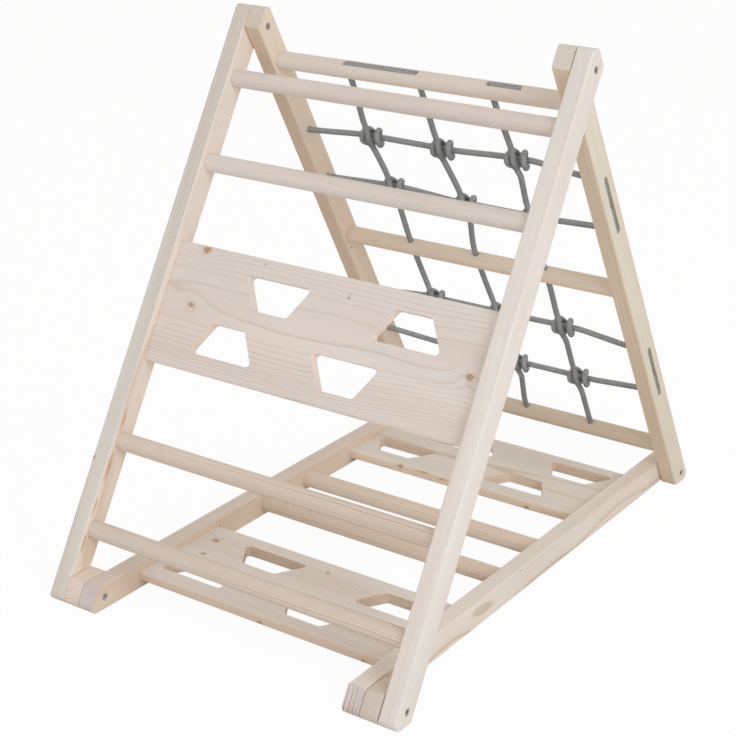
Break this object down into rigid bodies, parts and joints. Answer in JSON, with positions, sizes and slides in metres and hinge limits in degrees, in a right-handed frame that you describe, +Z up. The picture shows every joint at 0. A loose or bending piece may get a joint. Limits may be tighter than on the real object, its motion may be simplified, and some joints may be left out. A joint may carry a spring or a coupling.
{
  "type": "climbing triangle",
  "caption": "Wooden climbing triangle for small children: a front ladder with a foot-hole board, a base ladder and a rear rope net frame, bolted into a free-standing triangle.",
  "frame": {"origin": "on the ground, below the middle of the triangle", "axes": "+X along the rungs, to the right seen from the front; +Y from the front ladder to the rear net; +Z up"},
  "size_m": [0.666, 1.0224, 0.8887],
  "materials": {
    "wood": "smooth sanded pale spruce",
    "rope": "braided grey rope",
    "zinc": "zinc plated"
  },
  "bodies": {
    "root": {"front_stile_left": "wood", "front_stile_right": "wood", "front_rung_1": "wood", "front_rung_2": "wood", "front_rung_3": "wood", "front_rung_4": "wood", "front_foot_board": "wood", "base_stile_left": "wood", "base_stile_right": "wood", "base_rung_front": "wood", "base_rung_rear": "wood", "base_board_front": "wood", "base_board_rear": "wood", "net_stile_left": "wood", "net_stile_right": "wood", "net_rung_top": "wood", "net_rung_middle": "wood", "net_rung_bottom": "wood", "spacer_block_left": "wood", "spacer_block_right": "wood", "net_rope_columns": "rope", "net_rope_rows_upper": "rope", "net_rope_rows_lower": "rope", "top_corner_bolts": "zinc", "front_corner_bolts": "zinc", "rear_corner_bolts": "zinc", "top_sleeve_nuts": "zinc", "front_sleeve_nuts": "zinc", "rear_sleeve_nuts": "zinc"}
  },
  "joints": []
}
